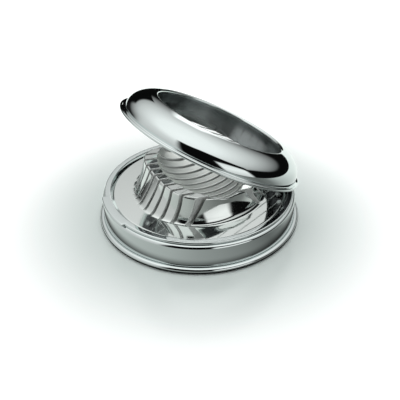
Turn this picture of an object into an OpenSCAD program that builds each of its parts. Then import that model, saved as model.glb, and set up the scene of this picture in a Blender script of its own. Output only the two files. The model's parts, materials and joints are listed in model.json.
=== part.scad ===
// Round egg slicer: a polished drum with a slotted cradle on its deck, and a
// domed ring lid that swings on a rear hinge and carries the cutting wires.
// Origin: middle of the footprint, on the table. +Z is up, +Y points to the
// hinge and the wires run along Y. The lid is drawn partly open.

/* [Drum] */
// Radius of the drum's outer wall
drum_r = 55; // [53:0.5:70]
// Height of the deck's top face above the table
deck_z = 16.4; // [14:0.2:24]
// Thickness of the drum's sheet
drum_wall = 1; // [0.8:0.1:1.4]
// Radius of the rolled bead round the foot
bead_r = 1.8; // [1.4:0.1:2.2]
// How far the bead stands out from the wall
bead_out = 2.5; // [2:0.1:3]
// Height of the non-slip pads below the bead
pad_h = 0.2; // [0.1:0.1:0.6]

/* [Rim] */
// Radial width of the rim's top
rim_w = 3.5; // [2.6:0.1:4.4]
// How far the rim lies inside the wall
rim_in = 1.3; // [0.8:0.1:2]
// Height of the rim's top above the deck
rim_h = 1.8; // [1.4:0.1:2.4]
// Height of the rolled rim itself
rim_t = 1.7; // [1.4:0.1:2]
// Width of the groove between the rim and the deck's top face
groove_w = 1.9; // [1:0.1:2.4]
// Half of the angle that the thumb rest takes
thumb_half_angle = 16; // [8:1:30]
// How far the thumb rest stands out from the rim
thumb_out = 1.7; // [0.8:0.1:2.4]

/* [Cradle] */
// Radius of the cradle's wall where it meets the deck
cradle_r = 36.2; // [29:0.1:37]
// Height of the crest above the deck, at the middle of the cradle
crest_h = 13; // [11:0.2:16]
// Slope of the crest and the bowl down towards the hinge, in degrees
crest_tilt = 7; // [0:0.5:9]
// How far the crest's outer edge lies inside the foot, at the two sides
crest_side_in = 9.4; // [7:0.1:11]
// How far the crest's outer edge lies inside the foot, at the two ends
crest_end_in = 5; // [3:0.1:6]
// How square the crest's outline is, where 2 is an ellipse
crest_power = 3.2; // [2:0.1:4]
// Width of the crest at the two sides
crest_w = 5.6; // [4:0.1:7]
// Depth of the bowl below the crest
bowl_depth = 10.4; // [6:0.2:11]
// Height of the bowl's centre above the crest
bowl_lift = 1.4; // [0.6:0.1:3]
// How far the bowl runs out past the crest at the two ends
bowl_spill = 0.8; // [0.4:0.1:1.6]
// Radius of the fillet between the cradle and the deck
foot_fillet = 3.4; // [1.6:0.1:4]
// Thickness of the deck
deck_t = 2.6; // [2.2:0.1:4]

/* [Slots and wires] */
// Width of each slot in the cradle
slot_w = 1.6; // [1.4:0.1:2.6]
// Distance from the outermost wire to the cradle's end
end_block = 6.6; // [6:0.1:8]
// Diameter of the wires
wire_d = 0.5; // [0.3:0.05:0.6]
// Height of the wires above the deck with the lid closed
wire_h = 1.6; // [1.4:0.1:1.8]

/* [Lid] */
// Angle at which the lid is drawn open, in degrees
lid_open = 28; // [0:1:90]
// Height of the dome above its junction with the flange
dome_h = 11.66; // [9:0.2:16]
// Thickness of the lid's sheet
lid_wall = 0.9; // [0.7:0.1:1.2]
// How far the flange's edge lies inside the drum's wall
flange_in = 1.4; // [1:0.1:2]
// Width of the flange outside the dome
flange_w = 2.54; // [2:0.1:4]
// Thickness of the rolled flange
flange_t = 1.6; // [1.2:0.1:2]
// Thickness of the collar
collar_wall = 1; // [0.8:0.1:1.4]
// Thickness of the ring that carries the wires
wire_ring_t = 1.5; // [1.2:0.1:2]

/* [Hinge] */
// Radius of the hinge's knuckles
knuckle_r = 1.9; // [1.5:0.1:2.3]
// Radius of the hinge pin
pin_r = 0.9; // [0.7:0.05:1]
// Half of the length of the lid's knuckle
mid_half = 5; // [4:0.5:6]
// Half of the length of the whole barrel
barrel_half = 10; // [9:0.5:12]
// How far the pin's axis lies inside the drum's wall
axis_in = 1.5; // [1.3:0.1:1.9]
// Thickness of the friction washers
washer_t = 0.3; // [0.2:0.05:0.5]
// Thickness of the bracket under the deck
bracket_t = 1.6; // [1.2:0.1:2]
// Thickness of the leaf under the lid
leaf_t = 1.2; // [1:0.1:1.4]

/* [Fasteners] */
// Radius of the screws' shanks
screw_r = 1.5; // [1:0.1:1.8]
// Radius of the screws' heads
screw_head_r = 2.7; // [2.2:0.1:3]
// Radius of the rivets' shanks
rivet_r = 1.1; // [0.8:0.1:1.3]
// Radius of the wire posts' shanks
post_r = 0.8; // [0.6:0.05:1]

/* [Clearances] */
// Radial clearance of the collar round the cradle's foot
collar_gap = 1; // [0.6:0.1:2]
// Gap between the closed lid and the rim
lid_gap = 0.35; // [0.3:0.05:0.6]
// Gap round everything that turns on the hinge
hinge_gap = 0.35; // [0.3:0.05:0.6]
// Radial clearance of the pin in the lid's knuckle
pin_gap = 0.05; // [0.02:0.01:0.08]
// Clearance of screws, rivets and posts in their holes
hole_gap = 0.05; // [0.02:0.01:0.1]
// Gap on each side of a friction washer
washer_gap = 0.05; // [0.02:0.01:0.1]

/* [Hidden] */
$fn = 96;
big = 200; // reaches past the whole object
eps = 0.02; // thin slice or overlap that joins two shapes

// Drum
bead_c = [drum_r + bead_out - bead_r, pad_h + bead_r];
shoulder_z = deck_z + rim_h - rim_t; // top of the drum, where the rim sits
shoulder_r = 0.8 * drum_wall;
cover_t = 1.2;
cover_z = pad_h + 0.3;
cover_top = cover_z + cover_t;
cover_r = bead_c[0] - sqrt(pow(bead_r, 2) - pow(bead_c[1] - cover_z, 2));
pad_r = 5;
pad_ring_r = drum_r - 11;
pad_seat = 0.4; // depth of a pad's recess in the cover

// Rim
rim_out_r = drum_r - rim_in;
rim_in_r = rim_out_r - rim_w;
rim_top = deck_z + rim_h;
skirt_t = 0.75;
skirt_r = rim_in_r + skirt_t;
ledge_t = 0.8;
ledge_w = 1.7;

// Deck and cradle
deck_bottom = deck_z - deck_t;
deck_gap = 0.4; // between the deck plate and the rim's skirt
deck_r = rim_in_r - deck_gap;
deck_top_r = rim_in_r - groove_w;
deck_step = 1.2; // height of the bevel at the deck's edge
crest_z = deck_z + crest_h;
crest_a = cradle_r - crest_end_in;
crest_b = cradle_r - crest_side_in;
bowl_c = bowl_depth + bowl_lift;
bowl_a = crest_a + bowl_spill;
bowl_b = (crest_b - crest_w) / sqrt(1 - pow(bowl_lift / bowl_c, 2));
side_lean = atan(crest_side_in / crest_h);
boss_r = 3.6;
boss_ring_r = cradle_r - 6.2;
boss_hole_depth = 9;

// Wires
wire_n = 11;
wire_pitch = 2 * (cradle_r - end_block) / (wire_n - 1);
wire_z = deck_z + wire_h;

// Lid, closed
lid_z = rim_top + lid_gap; // underside of the flange
flange_r = drum_r - flange_in;
edge_r = flange_t / 2;
dome_r = flange_r - flange_w; // where the dome meets the flange
dome_z = lid_z + flange_t + 0.83;
aperture_step = 0.45; // how far the aperture's edge stands inside the collar
aperture_r = collar_r() - aperture_step;
crown_r = aperture_r - 1.83; // radius of the dome curve's highest point
roll_r = 1.15; // roll at the aperture's edge
roll_c = [aperture_r + roll_r, dome_height(aperture_r + roll_r) - roll_r];
lip_h = 0.8; // straight edge below the roll
lid_bore_r = dome_r - lid_wall;
collar_out_r = collar_r() + collar_wall;
collar_bottom = deck_z + 1.2;
collar_top = roll_c[1] - lip_h;
wire_ring_gap = 0.1; // between the collar and the wire ring
post_ring_r = (collar_out_r + lid_bore_r) / 2;
post_head_r = 1.35;
post_head_t = 0.4;
eye_r = wire_d / 2 + 0.05; // half thickness of a wire's crimped eye
eye_bite = 0.12; // how far the wire reaches into its eye
loop_r = post_r + hole_gap + eye_r;
notch_w = wire_d + 0.4;

// Hinge
hinge_y = drum_r - axis_in;
hinge_z = lid_z - hinge_gap - knuckle_r;
outer_start = mid_half + washer_t + 2 * washer_gap;
pin_head_r = 1.4;
pin_head_t = 0.6;
notch_half = barrel_half + pin_head_t + 0.8;
bracket_z = deck_bottom - bracket_t;
bracket_y = cradle_r + 1.8;
bracket_end = hinge_y - knuckle_r - hinge_gap - 0.45;
bracket_screw = [6.5, hinge_y - 9.5];
bracket_bite = 1.6; // how far the bracket's screws reach into the deck
leaf_z = lid_z - leaf_t;
leaf_start = post_ring_r + post_head_r + 0.5;
leaf_end = hinge_y - knuckle_r - hinge_gap;
rivet_at = [7, (leaf_start + leaf_end) / 2 - 1];
rivet_head_r = 1.7;
rivet_head_t = 0.5;

// Inner radius of the collar, which clears the cradle's foot
function collar_r() = cradle_r + collar_gap;

// Height of the dome's outer face at a radius
function dome_height(r) =
    dome_z + dome_h * sqrt(1 - pow((r - crown_r) / (dome_r - crown_r), 2));

// Point of the crest's outline at a turn, in degrees
function crest_point(turn) = [
    crest_a * bulge(cos(turn)),
    crest_b * bulge(sin(turn))
];
function bulge(x) = side(x) * pow(abs(x), 2 / crest_power);

// Points of an elliptical arc
function arc(c, rx, ry, from, to, n) =
    [for (i = [0:n]) let (a = from + (to - from) * i / n) [c[0] + rx * cos(a), c[1] + ry * sin(a)]];

// Place of wire number i, counted from 1 at the far end of -X
function wire_x(i) = (i - (wire_n + 1) / 2) * wire_pitch;
function side(x) = x < 0 ? -1 : 1;
function post_x(i) = wire_x(i) + side(wire_x(i)) * loop_r;
function post_y(i) = sqrt(pow(post_ring_r, 2) - pow(wire_x(i), 2));

// Swings what is drawn closed to the angle at which the lid stands
module swung() {
    translate([0, hinge_y, hinge_z]) rotate([-lid_open, 0, 0]) translate([0, -hinge_y, -hinge_z]) children();
}

// Rod along X, from x0 to x1, on the hinge's axis
module on_axis(r, x0, x1) {
    translate([x0, hinge_y, hinge_z]) rotate([0, 90, 0]) cylinder(r = r, h = x1 - x0);
}

module on_both_sides() {
    children();
    mirror([1, 0, 0]) children();
}

module around(n, r, first = 0) {
    for (i = [0:n - 1]) rotate([0, 0, first + i * 360 / n]) translate([r, 0, 0]) children();
}

// Opening in drum and rim that the hinge sits in
module hinge_notch(z) {
    translate([-notch_half, 0, z]) cube([2 * notch_half, big, big]);
}

// --- Base ---

module drum() {
    inner = drum_r - drum_wall;
    color("silver") difference() {
        rotate_extrude() difference() {
            union() {
                translate(bead_c) circle(r = bead_r, $fn = 48);
                polygon(concat(
                    [[inner, bead_c[1]], [drum_r, bead_c[1]]],
                    arc([drum_r - shoulder_r, shoulder_z - shoulder_r], shoulder_r, shoulder_r, 0, 90, 8),
                    [[skirt_r, shoulder_z], [skirt_r, shoulder_z - drum_wall], [inner, shoulder_z - drum_wall]]
                ));
            }
            translate(bead_c) circle(r = bead_r - drum_wall, $fn = 48);
        }
        hinge_notch(bracket_z - 0.2);
    }
}

// Cross-section of the rolled rim, out to radius r
module rim_section(r) {
    half = rim_t / 2;
    corner = 0.4;
    polygon(concat(
        [[rim_in_r, shoulder_z]],
        arc([r - half, shoulder_z + half], half, half, -90, 90, 16),
        arc([rim_in_r + corner, rim_top - corner], corner, corner, 90, 180, 6)
    ));
}

module rim_ring() {
    color("gainsboro") difference() {
        union() {
            rotate_extrude() {
                rim_section(rim_out_r);
                translate([rim_in_r, deck_bottom - ledge_t])
                    square([skirt_t, shoulder_z - deck_bottom + ledge_t + eps]);
                translate([rim_in_r - ledge_w, deck_bottom - ledge_t]) square([ledge_w + eps, ledge_t]);
            }
            rotate([0, 0, -90 - thumb_half_angle])
                rotate_extrude(angle = 2 * thumb_half_angle) rim_section(rim_out_r + thumb_out);
        }
        hinge_notch(deck_bottom - ledge_t - eps);
    }
}

// Plate with a bevelled edge
module deck_plate() {
    rotate_extrude() polygon([
        [0, deck_bottom], [deck_r, deck_bottom], [deck_r, deck_z - deck_step],
        [deck_top_r, deck_z], [0, deck_z]
    ]);
}

// Concave fillet between the deck and the leaning wall
module cradle_foot() {
    z_end = deck_z + foot_fillet * (1 - sin(side_lean));
    r_end = cradle_r - (z_end - deck_z) * tan(side_lean);
    c = [r_end + foot_fillet * cos(side_lean), deck_z + foot_fillet];
    rotate_extrude() polygon(concat(
        [[0, deck_z - eps], [c[0], deck_z - eps]],
        arc(c, foot_fillet, foot_fillet, -90, -180 + side_lean, 10),
        [[0, z_end]]
    ));
}

// Everything above the crest is left out by drawing only up to it
module cradle_block() {
    hull() {
        translate([0, 0, deck_z]) cylinder(r = cradle_r, h = eps, $fn = 64);
        at_crest() linear_extrude(eps) polygon([for (turn = [0:5:355]) crest_point(turn)]);
    }
}

// The crest's own tilted plane
module at_crest() {
    translate([0, 0, crest_z]) rotate([-crest_tilt, 0, 0]) children();
}

module cradle() {
    color("whitesmoke") difference() {
        union() {
            deck_plate();
            cradle_foot();
            cradle_block();
            around(4, boss_ring_r, 45) translate([0, 0, cover_top])
                cylinder(r = boss_r, h = deck_bottom - cover_top + eps);
        }
        at_crest() translate([0, 0, bowl_lift]) scale([bowl_a, bowl_b, bowl_c]) sphere(r = 1, $fn = 56);
        for (i = [1:wire_n])
            translate([wire_x(i) - slot_w / 2, -big / 2, deck_z]) cube([slot_w, big, big]);
        around(4, boss_ring_r, 45) translate([0, 0, cover_top - eps])
            cylinder(r = screw_r + hole_gap, h = boss_hole_depth);
        on_both_sides() translate([bracket_screw[0], bracket_screw[1], deck_bottom - eps])
            cylinder(r = screw_r + hole_gap, h = bracket_bite + 0.2);
    }
}

module bottom_cover() {
    color("gray") difference() {
        rotate_extrude() difference() {
            translate([0, cover_z]) square([cover_r, cover_t]);
            translate(bead_c) circle(r = bead_r, $fn = 48);
        }
        around(4, boss_ring_r, 45) translate([0, 0, cover_z - eps])
            cylinder(r = screw_r + hole_gap, h = cover_t + 2 * eps);
        around(4, boss_ring_r, 45) translate([0, 0, cover_z])
            cylinder(r1 = screw_head_r + hole_gap, r2 = screw_r + hole_gap, h = cover_t);
        around(4, pad_ring_r) translate([0, 0, cover_z - eps])
            cylinder(r = pad_r, h = pad_seat + eps);
    }
}

module cover_screws() {
    color("dimgray") around(4, boss_ring_r, 45) translate([0, 0, cover_z]) difference() {
        union() {
            cylinder(r1 = screw_head_r, r2 = screw_r, h = cover_t);
            cylinder(r = screw_r, h = cover_t + boss_hole_depth - 1);
        }
        cross_recess();
    }
}

// Recess for a cross-head driver
module cross_recess() {
    for (a = [0, 90]) rotate([0, 0, a]) translate([-1.4, -0.3, -eps]) cube([2.8, 0.6, 0.9]);
}

module foot_pads() {
    color("darkslategray") around(4, pad_ring_r) cylinder(r = pad_r, h = cover_z + pad_seat);
}

// --- Hinge ---

module hinge_bracket() {
    outer_w = barrel_half - outer_start;
    color("darkgray") difference() {
        union() {
            translate([-barrel_half, bracket_y, bracket_z])
                cube([2 * barrel_half, bracket_end - bracket_y, bracket_t]);
            on_both_sides() {
                translate([outer_start, bracket_end - eps, bracket_z])
                    cube([outer_w, hinge_y + knuckle_r - bracket_end + eps, bracket_t]);
                translate([outer_start, hinge_y - knuckle_r, bracket_z])
                    cube([outer_w, 2 * knuckle_r, hinge_z - bracket_z]);
                on_axis(knuckle_r, outer_start, barrel_half);
            }
        }
        on_both_sides() translate([bracket_screw[0], bracket_screw[1], bracket_z - eps])
            cylinder(r = screw_r + hole_gap, h = bracket_t + 2 * eps);
        on_axis(pin_r, -big / 2, big / 2);
    }
}

module bracket_screws() {
    head_t = 1.6;
    color("dimgray") on_both_sides()
        translate([bracket_screw[0], bracket_screw[1], bracket_z - head_t]) difference() {
            union() {
                cylinder(r = screw_head_r, h = head_t);
                cylinder(r = screw_r, h = head_t + bracket_t + bracket_bite);
            }
            cross_recess();
        }
}

module hinge_pin() {
    color("lightsteelblue") {
        on_axis(pin_r, -barrel_half - eps, barrel_half + pin_head_t);
        on_axis(pin_head_r, -barrel_half - pin_head_t, -barrel_half);
    }
}

module pin_cap() {
    color("lightsteelblue") difference() {
        on_axis(pin_head_r, barrel_half, barrel_half + pin_head_t);
        on_axis(pin_r, barrel_half - eps, barrel_half + pin_head_t + eps);
    }
}

module friction_washers() {
    color("goldenrod") on_both_sides() difference() {
        on_axis(knuckle_r, mid_half + washer_gap, mid_half + washer_gap + washer_t);
        on_axis(pin_r + pin_gap, mid_half, outer_start);
    }
}

// --- Lid, drawn closed and then swung open ---

module lid_shell() {
    inner_end = asin(min(1, (lid_bore_r - crown_r) / (dome_r - lid_wall - crown_r)));
    crown_start = acos((roll_c[0] - crown_r) / (dome_r - crown_r));
    crown_inner = acos((roll_c[0] - crown_r) / (dome_r - lid_wall - crown_r));
    edge_c = flange_r - edge_r;
    throat = edge_c - dome_r;
    color("silver") swung() rotate_extrude() polygon(concat(
        [[lid_bore_r, lid_z]],
        arc([edge_c, lid_z + edge_r], edge_r, edge_r, -90, 90, 16),
        arc([edge_c, dome_z], throat, dome_z - lid_z - flange_t, -100, -170, 6),
        arc([crown_r, dome_z], dome_r - crown_r, dome_h, 0, crown_start, 28),
        arc(roll_c, roll_r, roll_r, 100, 180, 10),
        [[aperture_r, collar_top], [aperture_r + lid_wall, collar_top]],
        arc(roll_c, roll_r - lid_wall, roll_r - lid_wall, 180, 100, 5),
        arc([crown_r, dome_z], dome_r - lid_wall - crown_r, dome_h - lid_wall, crown_inner, 90 - inner_end, 24)
    ));
}

module lid_collar() {
    color("dimgray") swung() difference() {
        translate([0, 0, collar_bottom]) cylinder(r = collar_out_r, h = collar_top - collar_bottom);
        translate([0, 0, collar_bottom - eps])
            cylinder(r = collar_r(), h = collar_top - collar_bottom + 2 * eps);
        for (i = [1:wire_n])
            translate([wire_x(i) - notch_w / 2, -big / 2, collar_bottom - eps])
                cube([notch_w, big, wire_z + notch_w / 2 - collar_bottom + eps]);
    }
}

module wire_ring() {
    color("darkgray") swung() difference() {
        translate([0, 0, lid_z]) cylinder(r = lid_bore_r, h = wire_ring_t);
        translate([0, 0, lid_z - eps]) cylinder(r = collar_out_r + wire_ring_gap, h = wire_ring_t + 2 * eps);
        at_posts() translate([0, 0, lid_z - eps]) cylinder(r = post_r, h = wire_ring_t + 2 * eps);
        on_both_sides() translate([rivet_at[0], rivet_at[1], lid_z - eps])
            cylinder(r = rivet_r, h = wire_ring_t + 2 * eps);
    }
}

module at_posts() {
    for (i = [1:wire_n], s = [-1, 1]) translate([post_x(i), s * post_y(i), 0]) children();
}

module wire_posts() {
    foot = wire_z - loop_r - post_head_t + 0.4;
    color("lightgray") swung() at_posts() {
        translate([0, 0, foot]) cylinder(r = post_head_r, h = post_head_t, $fn = 32);
        translate([0, 0, foot]) cylinder(r = post_r, h = lid_z + wire_ring_t - foot, $fn = 32);
        translate([0, 0, lid_z + wire_ring_t]) cylinder(r = post_head_r, h = post_head_t, $fn = 32);
    }
}

// Wire number i: a straight run that ends in an open eye round each post
module wire(i) {
    color("lightsteelblue") swung() {
        translate([wire_x(i), -post_y(i) - eye_bite, wire_z]) rotate([-90, 0, 0])
            cylinder(r = wire_d / 2, h = 2 * (post_y(i) + eye_bite), $fn = 24);
        for (s = [-1, 1]) translate([post_x(i), s * post_y(i), wire_z])
            mirror_sides(side(wire_x(i)), s) rotate([0, 0, -90])
                rotate_extrude(angle = 270, $fn = 32) translate([loop_r, 0]) circle(r = eye_r, $fn = 24);
    }
}

// Mirrors in X where sx is -1, and in Y where sy is -1
module mirror_sides(sx, sy) {
    mirror([sx < 0 ? 1 : 0, 0, 0]) mirror([0, sy < 0 ? 1 : 0, 0]) children();
}

module hinge_leaf() {
    color("darkgray") swung() difference() {
        union() {
            translate([-barrel_half, leaf_start, leaf_z]) cube([2 * barrel_half, leaf_end - leaf_start, leaf_t]);
            translate([-mid_half, leaf_end - eps, leaf_z]) cube([2 * mid_half, hinge_y - leaf_end + eps, leaf_t]);
            on_axis(knuckle_r, -mid_half, mid_half);
        }
        on_axis(pin_r + pin_gap, -big / 2, big / 2);
        on_both_sides() translate([rivet_at[0], rivet_at[1], leaf_z - eps])
            cylinder(r = rivet_r, h = leaf_t + 2 * eps);
    }
}

module leaf_rivets() {
    color("lightgray") swung() on_both_sides() translate([rivet_at[0], rivet_at[1], 0]) {
        translate([0, 0, leaf_z - rivet_head_t]) cylinder(r = rivet_head_r, h = rivet_head_t);
        translate([0, 0, leaf_z - eps]) cylinder(r = rivet_r, h = leaf_t + wire_ring_t + 2 * eps);
        translate([0, 0, lid_z + wire_ring_t]) cylinder(r = rivet_head_r, h = rivet_head_t);
    }
}

drum();
rim_ring();
cradle();
bottom_cover();
cover_screws();
foot_pads();
hinge_bracket();
bracket_screws();
hinge_pin();
pin_cap();
friction_washers();
lid_shell();
lid_collar();
wire_ring();
wire_posts();
hinge_leaf();
leaf_rivets();
wire(1);  // wire_01
wire(2);  // wire_02
wire(3);  // wire_03
wire(4);  // wire_04
wire(5);  // wire_05
wire(6);  // wire_06
wire(7);  // wire_07
wire(8);  // wire_08
wire(9);  // wire_09
wire(10);  // wire_10
wire(11);  // wire_11
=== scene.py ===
import json
import math

import bmesh
import bpy
import numpy as np
from mathutils import Matrix, Vector


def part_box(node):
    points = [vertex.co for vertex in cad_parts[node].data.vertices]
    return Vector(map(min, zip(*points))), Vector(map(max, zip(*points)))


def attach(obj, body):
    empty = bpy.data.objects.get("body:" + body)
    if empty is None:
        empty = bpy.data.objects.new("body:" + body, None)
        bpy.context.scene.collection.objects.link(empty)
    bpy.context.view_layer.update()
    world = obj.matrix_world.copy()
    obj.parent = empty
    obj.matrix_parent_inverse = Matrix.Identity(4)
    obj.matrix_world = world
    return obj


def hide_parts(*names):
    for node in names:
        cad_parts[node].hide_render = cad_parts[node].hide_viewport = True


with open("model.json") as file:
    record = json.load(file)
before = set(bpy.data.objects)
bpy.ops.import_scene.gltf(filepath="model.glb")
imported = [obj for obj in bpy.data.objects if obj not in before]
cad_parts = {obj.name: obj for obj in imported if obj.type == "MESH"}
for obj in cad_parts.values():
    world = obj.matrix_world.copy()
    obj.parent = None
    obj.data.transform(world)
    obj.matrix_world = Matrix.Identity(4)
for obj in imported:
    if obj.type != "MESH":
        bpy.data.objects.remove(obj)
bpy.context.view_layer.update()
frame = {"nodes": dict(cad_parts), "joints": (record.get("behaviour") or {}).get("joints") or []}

# ---------------------------------------------------------------- sizes, in millimetres
MM = 0.001

hinge = next(j for j in frame["joints"] if j["name"] == "lid_hinge")
HINGE_Y, HINGE_Z = (c / MM for c in hinge["pos_m"][1:])
LID_OPEN = -hinge["range_deg"][0]  # degrees from closed to the rest pose


def cad_size(node, axis, end):
    """One side of a CAD node's box: end is 0 for the lowest, 1 for the highest."""
    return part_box(node)[end][axis] / MM


# Drum and rim
BEAD_R = 1.8
BEAD_C = (cad_size("drum", 0, 1) - BEAD_R, cad_size("drum", 2, 0) + BEAD_R)
DRUM_R = BEAD_C[0] - 0.7
DRUM_WALL = 1.0
DECK_Z = HINGE_Z + 0.1
SHOULDER_Z = DECK_Z + 0.1
SHOULDER_R = 2.2
RIM_R = cad_size("rim_ring", 0, 1)
RIM_IN_R = RIM_R - 3.5
RIM_T = 1.7
RIM_TOP = cad_size("rim_ring", 2, 1)
SKIRT_R = RIM_IN_R + 0.75
LEDGE_R = RIM_IN_R - 1.7
THUMB_OUT = 1.7
THUMB_HALF = 16  # degrees
THUMB_EASE = 1.2  # degrees over which the thumb rest steps out
LEDGE_T = 0.8
NOTCH_HALF = 11.4
DRUM_NOTCH_Z = cad_size("hinge_bracket", 2, 0) - 0.2
RIM_NOTCH_Z = 5  # below the whole rim
NOTCH_START = 30  # well inside the drum
NOTCH_TOP = 30  # above the rim
PAST_WALL = 10  # how far a cutting box stands out past a wall

# Deck and cradle
DECK_R = cad_size("cradle", 0, 1)
DECK_TOP_R = DECK_R - 1.5
DECK_T = 2.6
DECK_STEP = 1.2
CRADLE_R = 36.2
TOE_R = 38.2
CREST_Z = DECK_Z + 13
CREST_A = CRADLE_R - 5
CREST_B = CRADLE_R - 9.4
CREST_POWER = 3.2
CREST_TILT = math.radians(7)
BOWL_LIFT = 1.4
BOWL_C = 10.4 + BOWL_LIFT
BOWL_A = CREST_A + 0.8
BOWL_B = (CREST_B - 5.6) / math.sqrt(1 - (BOWL_LIFT / BOWL_C) ** 2)
SLOT_W = 1.6
WIRES = 11
PITCH = 2 * (CRADLE_R - 6.6) / (WIRES - 1)
WALL_HOLLOW = 0.35  # how far the cradle's wall is hollowed between its crest and its foot
BOWL_ROWS = 66  # rows of faces from the bowl's middle to the crest's outer edge
BOWL_EDGE = 0.35  # the satin of the bowl stops this far below the crest
CREST_SOFT = 0.45  # how softly the bowl's surface turns into the crest
SAW_EDGE = 0.22  # radius of the rounded edges along the slots
UPRIGHT_SINK = 0.3  # how far the uprights reach down into the deck, so that no gap shows
SAWN_SINK = 0.25  # the same for their sawn faces
BOSS_R = 3.6
BOSS_RING_R = 30.0

# Lid, closed
LID_Z = RIM_TOP + 0.35
FLANGE_R = 53.6
FLANGE_T = 1.6
DOME_R = 51.06
DOME_Z = LID_Z + FLANGE_T + 0.83
DOME_H = 11.66
LID_WALL = 0.9
COLLAR_R = CRADLE_R + 1.0
COLLAR_WALL = 1.0
COLLAR_BOTTOM = DECK_Z + 1.2
APERTURE_R = COLLAR_R - 0.45
CROWN_R = APERTURE_R - 1.83
THROAT_RISE = 0.25  # height above the dome's foot at which the throat meets it
THROAT_DEPTH = 1.3  # how far the throat's curve is pulled down below the flange
ROLL_R = 1.15
LIP_H = 0.8
WIRE_Z = DECK_Z + 1.6
WIRE_NOTCH = 0.9

SHARP = math.radians(35)  # edges that turn more than this are shaded as sharp

# How the lid gets from closed, as it is drawn, to its rest pose
SWING = (
    Matrix.Translation((0, HINGE_Y * MM, HINGE_Z * MM))
    @ Matrix.Rotation(math.radians(-LID_OPEN), 4, "X")
    @ Matrix.Translation((0, -HINGE_Y * MM, -HINGE_Z * MM))
)


# ---------------------------------------------------------------- mesh helpers
def arc(centre, rx, rz, start, end, steps):
    """Points of an elliptical arc, with its angles in degrees."""
    angles = np.radians(np.linspace(start, end, steps + 1))
    return [(centre[0] + rx * math.cos(a), centre[1] + rz * math.sin(a)) for a in angles]


def line(a, b, steps):
    """Points from a to b, both ends included."""
    return [tuple(np.array(a) + (np.array(b) - np.array(a)) * t) for t in np.linspace(0, 1, steps + 1)]


def bezier(a, corner, b, steps):
    """Quadratic curve that rounds a corner."""
    return [
        tuple((1 - t) ** 2 * a + 2 * t * (1 - t) * corner + t**2 * b) for t in np.linspace(0, 1, steps + 1)
    ]


def eased(points, radius, steps=4):
    """The closed outline with each corner rounded."""
    out = []
    count = len(points)
    for i in range(count):
        before, corner, after = (np.array(points[(i + k) % count], float) for k in (-1, 0, 1))
        to_before = before - corner
        to_after = after - corner
        cut = min(radius, 0.45 * np.linalg.norm(to_before), 0.45 * np.linalg.norm(to_after))
        a = corner + to_before / np.linalg.norm(to_before) * cut
        b = corner + to_after / np.linalg.norm(to_after) * cut
        out += bezier(a, corner, b, steps)
    return out


def make_piece(bm, name, materials):
    """Turns a bmesh in millimetres into an object in metres."""
    bmesh.ops.recalc_face_normals(bm, faces=bm.faces)
    bmesh.ops.scale(bm, vec=(MM, MM, MM), verts=bm.verts)
    mesh = bpy.data.meshes.new(name)
    bm.to_mesh(mesh)
    bm.free()
    piece = bpy.data.objects.new(name, mesh)
    bpy.context.scene.collection.objects.link(piece)
    for material in materials:
        mesh.materials.append(material)
    mesh.set_sharp_from_angle(angle=SHARP)
    return piece


def stand_for(piece, body, node):
    """Makes a piece ride on a body, in the place of a CAD node, which it hides."""
    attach(piece, body)
    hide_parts(node)


def add_lathe(bm, outline_at, columns=288):
    """Turns a closed outline about Z. outline_at(angle) gives its (r, z) points at an angle."""
    rings = []
    for k in range(columns):
        angle = 2 * math.pi * k / columns
        c, s = math.cos(angle), math.sin(angle)
        rings.append([bm.verts.new((r * c, r * s, z)) for r, z in outline_at(angle)])
    for k in range(columns):
        here, there = rings[k], rings[(k + 1) % columns]
        for i in range(len(here)):
            j = (i + 1) % len(here)
            face = bm.faces.new((here[i], there[i], there[j], here[j]))
            face.smooth = True


def cut_boxes(piece, boxes):
    """Takes boxes, given by their two corners in millimetres, out of a piece."""
    bm = bmesh.new()
    for low, high in boxes:
        low, high = Vector(low) * MM, Vector(high) * MM
        made = bmesh.ops.create_cube(bm, size=1)["verts"]
        bmesh.ops.scale(bm, vec=high - low, verts=made)
        bmesh.ops.translate(bm, vec=(low + high) / 2, verts=made)
    mesh = bpy.data.meshes.new("cutter")
    bm.to_mesh(mesh)
    bm.free()
    cutter = bpy.data.objects.new("cutter", mesh)
    bpy.context.scene.collection.objects.link(cutter)
    modifier = piece.modifiers.new("cut", "BOOLEAN")
    modifier.operation = "DIFFERENCE"
    modifier.solver = "EXACT"
    modifier.object = cutter
    bpy.context.view_layer.update()
    evaluated = piece.evaluated_get(bpy.context.evaluated_depsgraph_get())
    cut = bpy.data.meshes.new_from_object(evaluated)
    piece.modifiers.remove(modifier)
    old = piece.data
    piece.data = cut
    bpy.data.meshes.remove(old)
    bpy.data.objects.remove(cutter)
    bpy.data.meshes.remove(mesh)
    cut.set_sharp_from_angle(angle=SHARP)


# ---------------------------------------------------------------- materials
def shader(name, colour, metallic, roughness):
    """A new node material, its node tree and its principled shader."""
    material = bpy.data.materials.new(name)
    material.use_nodes = True
    tree = material.node_tree
    principled = tree.nodes["Principled BSDF"]
    principled.inputs["Base Color"].default_value = (*colour, 1)
    principled.inputs["Metallic"].default_value = metallic
    principled.inputs["Roughness"].default_value = roughness
    return material, tree, principled


def add_node(tree, kind, inputs=None, **settings):
    """A node with its settings, and its inputs as values or as links from other nodes' outputs."""
    node = tree.nodes.new(kind)
    for key, value in settings.items():
        setattr(node, key, value)
    for key, value in (inputs or {}).items():
        if isinstance(value, bpy.types.NodeSocket):
            tree.links.new(value, node.inputs[key])
        else:
            node.inputs[key].default_value = value
    return node


# Scales are in cells per metre, depths in metres
SMEAR_SCALE = 60.0
GRAIN_DEPTH = 0.00005
PEBBLE_SCALE = 2500.0
PEBBLE_DEPTH = 0.0001


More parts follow.
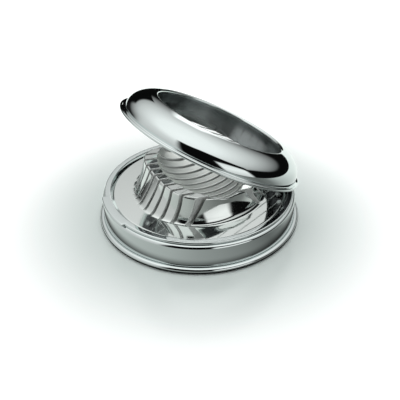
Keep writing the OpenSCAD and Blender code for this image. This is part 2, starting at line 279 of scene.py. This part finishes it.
def metal(name, colour, roughness, spread, grain, bump, stretch=(1, 1, 1), *, dark):
    """Metal with uneven roughness, faint smears in its colour and a fine grain.

    Roughness varies by spread, and the smears go down to dark times the colour. grain is the grain's
    scale, bump its strength, and a low stretch draws it out along X, Y or Z.
    """
    material, tree, principled = shader(name, colour, 1.0, roughness)
    place = add_node(tree, "ShaderNodeTexCoord").outputs["Object"]
    mapped = add_node(tree, "ShaderNodeMapping", {"Vector": place, "Scale": stretch}).outputs[0]
    smear = add_node(tree, "ShaderNodeTexNoise", {
        "Vector": place, "Scale": SMEAR_SCALE, "Detail": 4.0, "Roughness": 0.6})
    fine = add_node(tree, "ShaderNodeTexNoise", {"Vector": mapped, "Scale": grain, "Detail": 3.0})
    rough = add_node(tree, "ShaderNodeMapRange", {
        "Value": smear.outputs[0], "From Min": 0.3, "From Max": 0.7,
        "To Min": roughness - spread, "To Max": roughness + spread})
    tree.links.new(rough.outputs[0], principled.inputs["Roughness"])
    tint = add_node(tree, "ShaderNodeMapRange", {
        "Value": smear.outputs[0], "From Min": 0.35, "From Max": 0.7, "To Min": dark, "To Max": 1.0})
    mixed = add_node(tree, "ShaderNodeMix", {"Factor": tint.outputs[0]}, data_type="RGBA")
    mixed.inputs["A"].default_value = (*[c * dark for c in colour], 1)
    mixed.inputs["B"].default_value = (*colour, 1)
    tree.links.new(mixed.outputs["Result"], principled.inputs["Base Color"])
    raised = add_node(tree, "ShaderNodeBump", {
        "Height": fine.outputs[0], "Strength": bump, "Distance": GRAIN_DEPTH})
    tree.links.new(raised.outputs[0], principled.inputs["Normal"])
    return material


def rubber(name, colour):
    """Matt moulded rubber with a pebbled skin."""
    material, tree, principled = shader(name, colour, 0.0, 0.8)
    place = add_node(tree, "ShaderNodeTexCoord").outputs["Object"]
    pebble = add_node(tree, "ShaderNodeTexVoronoi", {"Vector": place, "Scale": PEBBLE_SCALE})
    raised = add_node(tree, "ShaderNodeBump", {
        "Height": pebble.outputs["Distance"], "Strength": 0.4, "Distance": PEBBLE_DEPTH})
    tree.links.new(raised.outputs[0], principled.inputs["Normal"])
    shade = add_node(tree, "ShaderNodeMapRange", {
        "Value": pebble.outputs["Distance"], "To Min": 0.7, "To Max": 0.9})
    tree.links.new(shade.outputs[0], principled.inputs["Roughness"])
    return material


MIRROR = metal("mirror_polished_steel", (0.635, 0.68, 0.675), 0.045, 0.015, 900.0, 0.01, dark=0.97)
CASTING = metal("polished_casting", (0.67, 0.70, 0.685), 0.07, 0.03, 1400.0, 0.03, dark=0.96)
BOWL = metal("satin_bowl", (0.74, 0.765, 0.735), 0.36, 0.05, 1800.0, 0.15, dark=0.95)
CUT_FACE = metal("satin_cut_face", (0.78, 0.79, 0.78), 0.42, 0.08, 3000.0, 0.25, (1, 1, 0.1), dark=0.92)
COLLAR = metal("satin_collar", (0.31, 0.335, 0.335), 0.2, 0.04, 1500.0, 0.12, (1, 1, 0.08), dark=0.95)
SATIN = metal("satin_sheet", (0.52, 0.53, 0.53), 0.33, 0.06, 2200.0, 0.2, (1, 8, 8), dark=0.9)
DARK_SATIN = metal("dark_satin_sheet", (0.07, 0.07, 0.075), 0.3, 0.05, 2200.0, 0.2, (1, 8, 8), dark=0.85)
TURNED = metal("turned_steel", (0.55, 0.56, 0.57), 0.25, 0.05, 3500.0, 0.15, dark=0.9)
WIRE = metal("drawn_wire", (0.72, 0.73, 0.73), 0.2, 0.05, 5000.0, 0.2, dark=0.9)
BRASS = metal("washer_brass", (0.70, 0.52, 0.24), 0.3, 0.06, 3000.0, 0.15, dark=0.88)
PAD = rubber("pad_rubber", (0.03, 0.03, 0.033))
CRADLE_LOOKS = [CASTING, CUT_FACE, BOWL]


# ---------------------------------------------------------------- base
def hinge_notch(bottom):
    """Corners of the box that clears the wall for the hinge, from a height upwards."""
    return (-NOTCH_HALF, NOTCH_START, bottom), (NOTCH_HALF, DRUM_R + PAST_WALL, NOTCH_TOP)


def build_drum():
    """Drawn wall with a rounded shoulder and a bead round its foot, with a fine crease over the bead."""
    crease_in, crease_drop, crease_ease = 0.3, 0.1, 0.35
    shoulder_ease = 0.5
    inner = DRUM_R - DRUM_WALL
    meet = math.degrees(math.acos((DRUM_R - BEAD_C[0]) / BEAD_R))
    crease_z = BEAD_C[1] + math.sqrt(BEAD_R**2 - (DRUM_R - BEAD_C[0]) ** 2) - crease_drop
    shoulder = (DRUM_R - SHOULDER_R, SHOULDER_Z - SHOULDER_R)
    bead_end = -180 - (90 + math.degrees(math.asin((inner - BEAD_C[0]) / BEAD_R)))
    outline = (
        arc(shoulder, SHOULDER_R, SHOULDER_R, 90, 0, 8)
        + line((DRUM_R, shoulder[1] - shoulder_ease), (DRUM_R, crease_z + crease_ease), 6)
        + [(DRUM_R - crease_in, crease_z)]
        + arc(BEAD_C, BEAD_R, BEAD_R, meet, bead_end, 40)
        + [(inner, SHOULDER_Z - DRUM_WALL), (SKIRT_R, SHOULDER_Z - DRUM_WALL), (SKIRT_R, SHOULDER_Z)]
    )
    bm = bmesh.new()
    add_lathe(bm, lambda angle: outline)
    drum = make_piece(bm, "drum_wall", [MIRROR])
    stand_for(drum, "base", "drum")
    cut_boxes(drum, [hinge_notch(DRUM_NOTCH_Z)])


def rim_reach(angle):
    """Outer radius of the rim at an angle: it steps out at the thumb rest, opposite the hinge."""
    away = abs(math.degrees(angle) - 270)
    rise = min(1, max(0, (THUMB_HALF - away) / THUMB_EASE))
    return RIM_R + THUMB_OUT * math.sqrt(rise * (2 - rise))


def rim_outline(angle):
    """Skirt, rolled edge, top with a rounded inner corner, and the ledge that the deck rests on."""
    half = RIM_T / 2
    reach = rim_reach(angle)
    corner = 0.5
    ledge_z = DECK_Z - DECK_T
    return (
        [(SKIRT_R, ledge_z - LEDGE_T), (SKIRT_R, SHOULDER_Z)]
        + arc((reach - half, SHOULDER_Z + half), half, half, -90, 90, 18)
        + arc((RIM_IN_R + corner, RIM_TOP - corner), corner, corner, 90, 180, 8)
        + [(RIM_IN_R, ledge_z), (LEDGE_R, ledge_z), (LEDGE_R, ledge_z - LEDGE_T)]
    )


def build_rim():
    """Rolled ring on the drum, in enough columns for the steps of its thumb rest."""
    bm = bmesh.new()
    add_lathe(bm, rim_outline, 720)
    rim = make_piece(bm, "rim_roll", [MIRROR])
    stand_for(rim, "base", "rim_ring")
    cut_boxes(rim, [hinge_notch(RIM_NOTCH_Z)])


# ---------------------------------------------------------------- cradle
def wire_places():
    """Where the wires and the slots lie along X."""
    return [(i - (WIRES - 1) / 2) * PITCH for i in range(WIRES)]


def crest_height(y):
    """Height of the crest, which falls towards the hinge."""
    return CREST_Z - y * math.tan(CREST_TILT)


def bowl_height(x, y):
    """Height of the bowl's tilted ellipsoid under (x, y), or nothing where it ends."""
    c, s = math.cos(CREST_TILT), math.sin(CREST_TILT)
    q2 = c * c / BOWL_C**2 + s * s / BOWL_B**2
    q1 = -y * c * s / BOWL_B**2 + (y * s - BOWL_LIFT) * c / BOWL_C**2
    q0 = x * x / BOWL_A**2 + (y * c) ** 2 / BOWL_B**2 + (y * s - BOWL_LIFT) ** 2 / BOWL_C**2 - 1
    inside = q1 * q1 - q2 * q0
    return CREST_Z + (-q1 - math.sqrt(inside)) / q2 if inside > 0 else None


def top_height(x, y):
    """Height of the bowl and the crest, with the edge between them rounded off."""
    out_of_reach = 4
    crest = crest_height(y)
    bowl = bowl_height(x, y)
    if bowl is None or bowl > crest + out_of_reach:
        return crest
    weights = math.exp(-(bowl - CREST_Z) / CREST_SOFT) + math.exp(-(crest - CREST_Z) / CREST_SOFT)
    return -CREST_SOFT * math.log(weights) + CREST_Z


def meridian(angle):
    """Points (r, z) of the cradle's section at an angle, from the bowl's middle out to the toe."""
    c, s = math.cos(angle), math.sin(angle)
    crest_r = (abs(c / CREST_A) ** CREST_POWER + abs(s / CREST_B) ** CREST_POWER) ** (-1 / CREST_POWER)
    crest = np.array((crest_r, crest_height(crest_r * s)))
    foot = np.array((CRADLE_R, DECK_Z))

    # The edge lies where the straight wall meets the top surface
    low, high = 0.3, 1.0
    for _ in range(40):
        mid = (low + high) / 2
        r, z = foot + (crest - foot) * mid
        if z < top_height(r * c, r * s):
            low = mid
        else:
            high = mid
    edge = foot + (crest - foot) * low

    ease, fine_zone, fillet_rise = 1.1, 8.0, 3.2
    radii = np.concatenate([
        np.linspace(0, edge[0] - fine_zone, BOWL_ROWS // 2, endpoint=False),
        np.linspace(edge[0] - fine_zone, edge[0] - ease, BOWL_ROWS - BOWL_ROWS // 2),
    ])
    points = [(r, top_height(r * c, r * s)) for r in radii]
    down = edge + (foot - edge) / np.linalg.norm(foot - edge) * ease
    points += bezier(np.array(points[-1]), edge, down, 8)[1:]
    fillet_top = foot + (edge - foot) * fillet_rise / (edge[1] - foot[1])
    wall = np.array(line(down, fillet_top, 16)[1:])
    wall[:, 0] -= WALL_HOLLOW * np.sin(np.linspace(0, math.pi, len(wall) + 1)[1:])
    points += [tuple(point) for point in wall]
    points += bezier(fillet_top, foot, np.array((TOE_R, DECK_Z)), 12)[1:]
    return points


def cradle_surface(columns=540):
    """Vertices of the whole unslotted cradle, one row for each angle."""
    angles = np.linspace(0, 2 * math.pi, columns, endpoint=False)
    rows = []
    for angle in angles:
        rows.append([(r * math.cos(angle), r * math.sin(angle), z) for r, z in meridian(angle)])
    return np.array(rows)


def chain(bm, x):
    """The open boundary at a plane of constant x, in order from -Y to +Y."""
    on_plane = 1e-5
    edges = [
        e for e in bm.edges
        if len(e.link_faces) == 1 and all(abs(v.co.x - x) < on_plane for v in e.verts)
    ]
    links = {}
    for e in edges:
        for a, b in (e.verts, reversed(e.verts)):
            links.setdefault(a, []).append(b)
    ends = [v for v, others in links.items() if len(others) == 1]
    at = min(ends, key=lambda v: v.co.y)
    ordered = [at]
    before = None
    while True:
        onward = [v for v in links[at] if v is not before]
        if not onward:
            return ordered
        before, at = at, onward[0]
        ordered.append(at)


def close_cut(bm, x, outward):
    """Rounds the edge of a sawn face and closes it. outward is the side on which the slot lies."""
    verts = chain(bm, x)
    flat = np.array([(v.co.y, v.co.z) for v in verts])
    along = np.gradient(flat, axis=0)
    along /= np.linalg.norm(along, axis=1)[:, None]
    inward = np.stack([along[:, 1], -along[:, 0]], axis=1)
    last = verts
    for turn in (30, 60, 90):
        angle = math.radians(turn)
        moved = flat + inward * SAW_EDGE * (1 - math.cos(angle))
        at = x + outward * SAW_EDGE * math.sin(angle)
        row = [bm.verts.new((at, y, z)) for y, z in moved]
        for i in range(len(row) - 1):
            face = bm.faces.new((last[i], last[i + 1], row[i + 1], row[i]))
            face.smooth = True
        last = row
    base = [bm.verts.new((v.co.x, v.co.y, DECK_Z - SAWN_SINK)) for v in last[1:-1]]
    base = [last[0], *base, last[-1]]
    for i in range(len(last) - 1):
        corners = dict.fromkeys((last[i], last[i + 1], base[i + 1], base[i]))
        bm.faces.new(corners).material_index = CRADLE_LOOKS.index(CUT_FACE)


def close_bottom(bm):
    """Carries the open edge down into the deck and closes it there."""
    rim = [e for e in bm.edges if len(e.link_faces) == 1]
    made = bmesh.ops.extrude_edge_only(bm, edges=rim)["geom"]
    verts = [g for g in made if isinstance(g, bmesh.types.BMVert)]
    for v in verts:
        v.co.z = DECK_Z - UPRIGHT_SINK
    open_edges = [e for e in bm.edges if len(e.link_faces) == 1]
    bmesh.ops.edgeloop_fill(bm, edges=open_edges)


def add_upright(bm, surface, low, high):
    """One upright of the cradle, from x = low to high. An end at infinity has no sawn face."""
    count = len(surface)
    left = low + SAW_EDGE
    right = high - SAW_EDGE
    x = surface[:, :, 0]
    keep = (x >= left) & (x <= right)
    near = keep | np.roll(keep, 1, 0) | np.roll(keep, -1, 0)
    near = near | np.roll(near, 1, 1) | np.roll(near, -1, 1)
    part = bmesh.new()
    made = {}

    def vert(k, i):
        key = (k % count, i)
        if key not in made:
            made[key] = part.verts.new(surface[key])
        return made[key]

    for k in range(count):
        for i in range(1, surface.shape[1] - 1):
            beside = (k + 1) % count
            if near[k, i] or near[beside, i] or near[k, i + 1] or near[beside, i + 1]:
                face = part.faces.new((vert(k, i), vert(k, i + 1), vert(k + 1, i + 1), vert(k + 1, i)))
                face.smooth = True
                y, z = surface[k % count, i, 1:]
                if i < BOWL_ROWS and z < crest_height(y) - BOWL_EDGE:
                    face.material_index = CRADLE_LOOKS.index(BOWL)
    for at, outer in ((left, False), (right, True)):
        if math.isfinite(at):
            everything = part.verts[:] + part.edges[:] + part.faces[:]
            bmesh.ops.bisect_plane(
                part, geom=everything, dist=1e-6, plane_co=(at, 0, 0), plane_no=(1, 0, 0),
                clear_outer=outer, clear_inner=not outer)
    if math.isfinite(left):
        close_cut(part, left, -1)
    if math.isfinite(right):
        close_cut(part, right, 1)
    close_bottom(part)
    bmesh.ops.recalc_face_normals(part, faces=part.faces)
    temporary = bpy.data.meshes.new("upright")
    part.to_mesh(temporary)
    part.free()
    bm.from_mesh(temporary)
    bpy.data.meshes.remove(temporary)


def build_cradle():
    """The deck, the cradle's uprights, which stand between the slots, and the bosses for the screws."""
    bm = bmesh.new()
    bottom = DECK_Z - DECK_T
    pinhole = 0.01
    flat_end = np.array((DECK_TOP_R - 0.35, DECK_Z))
    slope_start = np.array((DECK_TOP_R + 0.25, DECK_Z - 0.2))
    plate = (
        [(pinhole, DECK_Z)]
        + bezier(flat_end, np.array((DECK_TOP_R, DECK_Z)), slope_start, 5)
        + [(DECK_R, DECK_Z - DECK_STEP), (DECK_R, bottom), (pinhole, bottom)]
    )
    add_lathe(bm, lambda angle: plate)
    surface = cradle_surface()
    slots = wire_places()
    lows = [-math.inf] + [x + SLOT_W / 2 for x in slots]
    highs = [x - SLOT_W / 2 for x in slots] + [math.inf]
    for low, high in zip(lows, highs):
        add_upright(bm, surface, low, high)
    cover_top = cad_size("bottom_cover", 2, 1)
    for turn in (45, 135, 225, 315):
        x = BOSS_RING_R * math.cos(math.radians(turn))
        y = BOSS_RING_R * math.sin(math.radians(turn))
        bmesh.ops.create_cone(
            bm, cap_ends=True, segments=40, radius1=BOSS_R, radius2=BOSS_R, depth=bottom - cover_top,
            matrix=Matrix.Translation((x, y, (bottom + cover_top) / 2)))
    cradle = make_piece(bm, "cradle_casting", CRADLE_LOOKS)
    stand_for(cradle, "base", "cradle")


# ---------------------------------------------------------------- lid
def dome_height(r):
    """Height of the closed lid's dome at a radius."""
    return DOME_Z + DOME_H * math.sqrt(1 - ((r - CROWN_R) / (DOME_R - CROWN_R)) ** 2)


def lid_outline():
    """Section of the lid's shell, and the height at which its lip ends on the collar.

    The section runs over the flange, throat, dome and roll, and back along the inside of the sheet.
    """
    span = DOME_R - CROWN_R
    roll = (APERTURE_R + ROLL_R, dome_height(APERTURE_R + ROLL_R) - ROLL_R)
    edge = (FLANGE_R - FLANGE_T / 2, LID_Z + FLANGE_T / 2)
    crown = math.degrees(math.acos((roll[0] - CROWN_R) / span))
    crown_in = math.degrees(math.acos((roll[0] - CROWN_R) / (span - LID_WALL)))
    bore = DOME_R - LID_WALL
    bore_in = math.degrees(math.acos(min(1, (bore - CROWN_R) / (span - LID_WALL))))
    crown_share = 0.7  # how much of the crown's slope the roll takes up
    slope = math.degrees(math.asin((roll[0] - CROWN_R) / span)) * crown_share
    throat_r = CROWN_R + span * math.sqrt(1 - (THROAT_RISE / DOME_H) ** 2)
    throat = bezier(
        np.array((edge[0] - 0.2, LID_Z + FLANGE_T)),
        np.array((DOME_R - 0.35, LID_Z + FLANGE_T - THROAT_DEPTH)),
        np.array((throat_r, DOME_Z + THROAT_RISE)), 12)
    start = math.degrees(math.asin(THROAT_RISE / DOME_H))
    lip_z = roll[1] - LIP_H
    lip_ease = 0.15
    outline = (
        [(bore, LID_Z)]
        + arc(edge, FLANGE_T / 2, FLANGE_T / 2, -90, 90, 18)
        + throat
        + arc((CROWN_R, DOME_Z), span, DOME_H, start, crown, 64)[1:]
        + arc(roll, ROLL_R, ROLL_R, 90 + slope, 180, 14)
        + [(APERTURE_R, lip_z + lip_ease), (APERTURE_R + lip_ease, lip_z), (APERTURE_R + LID_WALL, lip_z)]
        + arc(roll, ROLL_R - LID_WALL, ROLL_R - LID_WALL, 180, 95, 4)
        + arc((CROWN_R, DOME_Z), span - LID_WALL, DOME_H - LID_WALL, crown_in, bore_in, 30)
    )
    return outline, lip_z


def build_lid():
    """The dome and the collar, drawn closed and then swung to the rest pose."""
    outline, collar_top = lid_outline()
    bm = bmesh.new()
    add_lathe(bm, lambda angle: outline, 360)
    dome = make_piece(bm, "lid_dome", [MIRROR])
    dome.data.transform(SWING)
    stand_for(dome, "lid", "lid_shell")

    tube = eased([
        (COLLAR_R, COLLAR_BOTTOM), (COLLAR_R + COLLAR_WALL, COLLAR_BOTTOM),
        (COLLAR_R + COLLAR_WALL, collar_top), (COLLAR_R, collar_top)], 0.15)
    bm = bmesh.new()
    add_lathe(bm, lambda angle: tube, 360)
    collar = make_piece(bm, "collar_tube", [COLLAR])
    half = WIRE_NOTCH / 2
    reach = COLLAR_R + PAST_WALL
    cut_boxes(collar, [
        ((x - half, -reach, COLLAR_BOTTOM - 1), (x + half, reach, WIRE_Z + half)) for x in wire_places()])
    collar.data.transform(SWING)
    stand_for(collar, "lid", "lid_collar")


def dress(names, material):
    """Gives CAD nodes that stay as they are their material."""
    for name in names:
        node = frame["nodes"][name]
        node.data.materials.clear()
        node.data.materials.append(material)
        node.data.set_sharp_from_angle(angle=SHARP)


build_drum()
build_rim()
build_cradle()
build_lid()
dress(["bottom_cover", "hinge_bracket", "hinge_leaf"], SATIN)
dress(["wire_ring"], DARK_SATIN)
dress(["cover_screws", "bracket_screws", "hinge_pin", "pin_cap", "wire_posts", "leaf_rivets"], TURNED)
dress([f"wire_{i:02d}" for i in range(1, WIRES + 1)], WIRE)
dress(["friction_washers"], BRASS)
dress(["foot_pads"], PAD)


# ---------------------------------------------------------------- stage
# The studio's front is where the camera stands. Studio azimuths count from there, positive to the
# camera's right. The studio's angles are in degrees. A list of stops runs from its first angle to its last.
CAMERA_AZIMUTH = math.radians(62.46)
RIGHT = Vector((math.cos(CAMERA_AZIMUTH), math.sin(CAMERA_AZIMUTH), 0))
FRONT = Vector((math.sin(CAMERA_AZIMUTH), -math.cos(CAMERA_AZIMUTH), 0))
UP = Vector((0, 0, 1))

# Brightness by elevation: of the cloth all round, of the cloth at the left, and of the softbox
CLOTH_STOPS = [(-20, 0.0), (4, 0.02), (10, 0.22), (20, 0.52), (30, 0.78), (42, 0.98), (60, 1.26), (90, 1.36)]
LEFT_CLOTH_STOPS = [(-20, 0.6), (0, 0.72), (20, 0.8), (40, 0.95), (60, 1.3), (90, 1.38)]
SOFTBOX_STOPS = [(-30, 0.5), (0, 1.05), (10, 1.25), (30, 1.0)]

# Painted light and shade of the board as polished faces reflect it, by azimuth
PAINTED_BOARD_STOPS = [
    (-180, 1.2), (-100, 0.95), (-60, 0.68), (-20, 0.55), (0, 0.42), (30, 0.30),
    (52, 0.18), (66, 0.25), (82, 0.6), (120, 1.05), (180, 1.2),
]

# Azimuths of the left and right side of things in the studio
LEFT_CLOTH_SIDES = (-112, -20)
SOFTBOX_SIDES = (15, 56)
BACK_STRIP_SIDES = (158, 170)
DARK = 0.004  # brightness of the open front and of the gap at the horizon
STRIP_LIGHT = 1.6


def calc(tree, operation, *values):
    """Output of a math node on numbers or on other outputs."""
    return add_node(tree, "ShaderNodeMath", dict(enumerate(values)), operation=operation).outputs[0]


def step(tree, value, start, end):
    """Smooth step from 0 at start to 1 at end. The two ends may be outputs."""
    ends = {"Value": value, "From Min": start, "From Max": end}
    return add_node(tree, "ShaderNodeMapRange", ends, interpolation_type="SMOOTHSTEP").outputs[0]


def window(tree, value, low, high, soft):
    """1 between low and high, with soft edges centred on them."""
    rise = step(tree, value, low - soft, low + soft)
    fall = step(tree, value, high + soft, high - soft)
    return calc(tree, "MULTIPLY", rise, fall)


def ramp(tree, value, stops):
    """Brightness that runs through (value, brightness) stops."""
    low, high = stops[0][0], stops[-1][0]
    place = add_node(tree, "ShaderNodeMapRange", {"Value": value, "From Min": low, "From Max": high})
    node = add_node(tree, "ShaderNodeValToRGB", {"Fac": place.outputs[0]})
    elements = node.color_ramp.elements
    while len(elements) < len(stops):
        elements.new(0.5)
    for element, (at, brightness) in zip(elements, stops):
        element.position = (at - low) / (high - low)
        element.color = (brightness, brightness, brightness, 1)
    return node.outputs["Color"]


def blend_values(tree, factor, a, b):
    """Goes from a, where factor is 0, to b, where it is 1. Both may be numbers or outputs."""
    node = add_node(tree, "ShaderNodeMix", {0: factor}, data_type="FLOAT")
    for socket, value in ((node.inputs[2], a), (node.inputs[3], b)):
        if isinstance(value, bpy.types.NodeSocket):
            tree.links.new(value, socket)
        else:
            socket.default_value = value
    return node.outputs[0]


def studio_angles(tree, vector):
    """Studio azimuth and elevation of a vector. The elevation is true of a unit vector only."""
    along = [
        add_node(tree, "ShaderNodeVectorMath", {0: vector, 1: axis}, operation="DOT_PRODUCT")
        for axis in (RIGHT, FRONT, UP)
    ]
    right, front, up = (node.outputs["Value"] for node in along)
    azimuth = calc(tree, "DEGREES", calc(tree, "ARCTAN2", right, front))
    return azimuth, calc(tree, "DEGREES", calc(tree, "ARCSINE", up))


def build_world():
    """Light tent: bright above, dark where its front is open and at its horizon, with one softbox."""
    world = bpy.data.worlds.new("studio")
    world.use_nodes = True
    tree = world.node_tree
    azimuth, elevation = studio_angles(tree, add_node(tree, "ShaderNodeTexCoord").outputs["Generated"])

    cloth = ramp(tree, elevation, CLOTH_STOPS)
    left_cloth = ramp(tree, elevation, LEFT_CLOTH_STOPS)
    light = blend_values(tree, window(tree, azimuth, *LEFT_CLOTH_SIDES, 12), cloth, left_cloth)

    # The open front, whose upper edge falls away to the right of the camera
    past_front = calc(tree, "MAXIMUM", azimuth, 0.0)
    opening_top = calc(tree, "MULTIPLY_ADD", calc(tree, "POWER", past_front, 2.0), -0.0085, 56.0)
    above = step(tree, calc(tree, "SUBTRACT", elevation, opening_top), -1.5, 2.5)
    sides = calc(tree, "MULTIPLY", step(tree, azimuth, -47.0, -33.0), step(tree, azimuth, 64.0, 60.0))
    opening = calc(tree, "MULTIPLY", sides, calc(tree, "SUBTRACT", 1.0, above))
    light = blend_values(tree, opening, light, DARK)

    # The dark gap at the horizon, from the front right round the back. It is higher at both of its ends
    band_top = calc(tree, "ADD", 6.0, calc(tree, "MULTIPLY", step(tree, azimuth, 118.0, 62.0), 13.0))
    under = step(tree, calc(tree, "SUBTRACT", elevation, band_top), 2.5, -2.5)
    around = calc(tree, "MAXIMUM", step(tree, azimuth, 56.5, 59.5), step(tree, azimuth, -146.0, -154.0))
    band = calc(tree, "MULTIPLY", around, under)
    light = blend_values(tree, band, light, DARK)

    # The softbox at the front right, whose upper edge falls away to its right
    past_middle = calc(tree, "MAXIMUM", calc(tree, "SUBTRACT", azimuth, 25.0), 0.0)
    softbox_top = calc(tree, "MULTIPLY_ADD", calc(tree, "POWER", past_middle, 2.0), -0.012, 28.0)
    below = step(tree, calc(tree, "SUBTRACT", elevation, softbox_top), 2.0, -4.0)
    softbox = calc(tree, "MULTIPLY", window(tree, azimuth, *SOFTBOX_SIDES, 3.5), below)
    light = blend_values(tree, softbox, light, ramp(tree, elevation, SOFTBOX_STOPS))

    # A bright strip at the back, above the dark gap
    strip_sides = window(tree, azimuth, *BACK_STRIP_SIDES, 2.0)
    strip = calc(tree, "MULTIPLY", strip_sides, window(tree, elevation, 8, 30, 3.0))
    light = blend_values(tree, strip, light, STRIP_LIGHT)

    tree.links.new(light, tree.nodes["Background"].inputs["Strength"])
    tree.nodes["Background"].inputs["Color"].default_value = (0.985, 1.0, 0.992, 1)
    bpy.context.scene.world = world


def far_from_middle(tree, place):
    """Distance from the slicer's middle, in metres."""
    return add_node(tree, "ShaderNodeVectorMath", {0: place}, operation="LENGTH").outputs["Value"]


def floor_material():
    """Pale satin board that glows a little, with a painted shadow near the slicer: it is darker there and
    does not glow.
    """
    material, tree, principled = shader("pale_board_painted_shadow", (0.8, 0.83, 0.82), 0.0, 0.16)
    place = add_node(tree, "ShaderNodeTexCoord").outputs["Object"]
    far = far_from_middle(tree, place)
    # Painted shadow: the board's colour is darker and greener near the slicer
    tint = add_node(tree, "ShaderNodeMix", {"Factor": step(tree, far, 0.05, 0.13)}, data_type="RGBA")
    tint.inputs["A"].default_value = (0.80, 0.87, 0.85, 1)
    tint.inputs["B"].default_value = (0.99, 1.0, 1.0, 1)
    tree.links.new(tint.outputs["Result"], principled.inputs["Base Color"])
    principled.inputs["Emission Color"].default_value = (1, 1, 1, 1)
    # Painted shadow: the board glows only away from the slicer, and most far from it
    near_glow = calc(tree, "MULTIPLY", step(tree, far, 0.06, 0.155), 0.42)
    far_glow = calc(tree, "MULTIPLY", step(tree, far, 0.25, 1.0), 0.5)
    tree.links.new(calc(tree, "ADD", near_glow, far_glow), principled.inputs["Emission Strength"])
    return material


def glowing_material(name, colour, strength_in):
    """A material that only glows. strength_in(tree) is its strength, as a number or an output."""
    material = bpy.data.materials.new(name)
    material.use_nodes = True
    tree = material.node_tree
    tree.nodes.remove(tree.nodes["Principled BSDF"])
    emission = add_node(tree, "ShaderNodeEmission", {"Strength": strength_in(tree), "Color": (*colour, 1)})
    tree.links.new(emission.outputs[0], tree.nodes["Material Output"].inputs["Surface"])
    return material


def reflected_board(tree):
    """Strength of the board's painted reflection: painted light and shade, dull at the front right and
    bright behind, and a painted contact shadow under the drum.
    """
    place = add_node(tree, "ShaderNodeTexCoord").outputs["Object"]
    azimuth, _ = studio_angles(tree, place)
    far = far_from_middle(tree, place)
    # Painted contact shadow: the board goes dark under and round the drum's foot
    painted_contact_shadow = step(tree, far, 0.0580, 0.0660)
    return calc(tree, "MULTIPLY", ramp(tree, azimuth, PAINTED_BOARD_STOPS), painted_contact_shadow)


def stage_piece(name, material, camera=False, glossy=False, diffuse=False):
    """Turns the object just added into a piece of the stage that only some rays see."""
    piece = bpy.context.object
    piece.name = name
    piece.data.materials.append(material)
    piece.visible_camera = camera
    piece.visible_glossy = glossy
    piece.visible_diffuse = diffuse
    piece.visible_shadow = False
    piece.visible_transmission = False


def build_stage():
    """The board that the camera sees, a glowing disc that paints the board's reflection for polished faces
    to see, and a white backdrop.
    """
    bpy.ops.mesh.primitive_plane_add(size=8)
    stage_piece("floor", floor_material(), camera=True, diffuse=True)

    just_below = (0, 0, -0.0002)
    # A glowing disc, seen only in reflections, that paints the board's light and shade and its shadow round
    # the drum
    bpy.ops.mesh.primitive_circle_add(vertices=96, radius=0.36, fill_type="NGON", location=just_below)
    painted_reflection_look = glowing_material("painted_board_reflection", (0.94, 1.0, 0.965), reflected_board)
    stage_piece("painted_floor_reflection", painted_reflection_look, glossy=True)

    bpy.ops.mesh.primitive_uv_sphere_add(segments=48, ring_count=24, radius=3.9)
    white = glowing_material("white_backdrop", (1, 1, 1), lambda tree: 1.0)
    stage_piece("backdrop", white, camera=True)


def build_camera():
    """Camera at the photograph's angle: it looks down on the front from between +X and -Y."""
    elevation, roll = math.radians(34.31), math.radians(-0.46)
    distance = 349.17 * MM
    target = Vector((0.26, 0.50, 7.59)) * MM
    back = UP * math.sin(elevation) + FRONT * math.cos(elevation)
    up = back.cross(RIGHT)
    turned_right = RIGHT * math.cos(roll) + up * math.sin(roll)
    turned_up = back.cross(turned_right)
    rotation = Matrix((turned_right, turned_up, back)).transposed()
    camera_data = bpy.data.cameras.new("camera")
    camera_data.sensor_width = 36
    camera_data.lens = 54
    camera_data.clip_start = 0.01
    camera = bpy.data.objects.new("camera", camera_data)
    bpy.context.scene.collection.objects.link(camera)
    camera.matrix_world = Matrix.Translation(target + back * distance) @ rotation.to_4x4()
    bpy.context.scene.camera = camera


build_stage()
build_world()
build_camera()
bpy.context.scene.view_settings.view_transform = "Standard"
